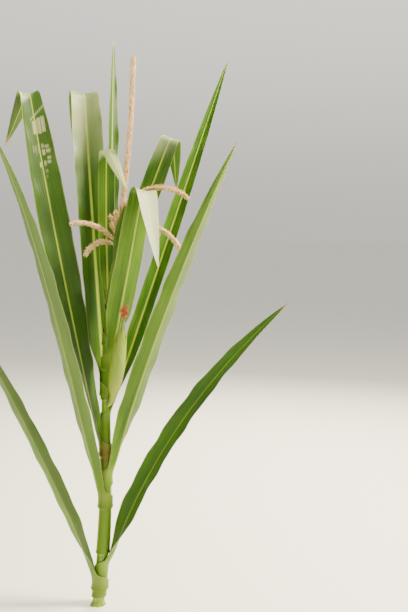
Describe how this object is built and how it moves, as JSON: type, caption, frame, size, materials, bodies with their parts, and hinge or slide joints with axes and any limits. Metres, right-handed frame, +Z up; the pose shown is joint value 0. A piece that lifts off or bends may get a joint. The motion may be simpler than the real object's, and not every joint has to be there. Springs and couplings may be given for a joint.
{
  "type": "maize plant",
  "caption": "Standing maize plant at tasselling, rooted in the ground: slender stalk, long arching and kinked strap leaves, husked ear with silk, and a tassel with an upright spike and drooping branches.",
  "frame": {"origin": "centre of the stalk's flat cut at ground level", "axes": "+Z up along the plant, +X to the viewer's right, -Y towards the viewer"},
  "size_m": [0.8843, 0.441, 1.638],
  "materials": {
    "stalk": "green, smooth living stalk",
    "leaf": "satin green leaf with parallel veins and a pale midrib",
    "husk": "light green, finely ribbed husk",
    "silk": "reddish silk threads",
    "tassel": "dry, straw-pink spikelets"
  },
  "bodies": {
    "root": {"stalk": "stalk", "leaf_01": "leaf", "leaf_02": "leaf", "leaf_03": "leaf", "leaf_04": "leaf", "leaf_05": "leaf", "leaf_05_hanging_tip": "leaf", "leaf_06": "leaf", "leaf_07": "leaf", "leaf_07_hanging_tip": "leaf", "leaf_08": "leaf", "leaf_08_hanging_tip": "leaf", "leaf_09": "leaf", "leaf_10": "leaf", "leaf_10_hanging_tip": "leaf", "leaf_11": "leaf", "leaf_11_hanging_tip": "leaf", "leaf_12": "leaf", "ear": "husk", "silk": "silk", "tassel_spike": "tassel", "tassel_branch_1": "tassel", "tassel_branch_2": "tassel", "tassel_branch_3": "tassel", "tassel_branch_4": "tassel", "tassel_branch_5": "tassel", "tassel_branch_6": "tassel", "tassel_branch_7": "tassel", "tassel_branch_8": "tassel"}
  },
  "joints": []
}
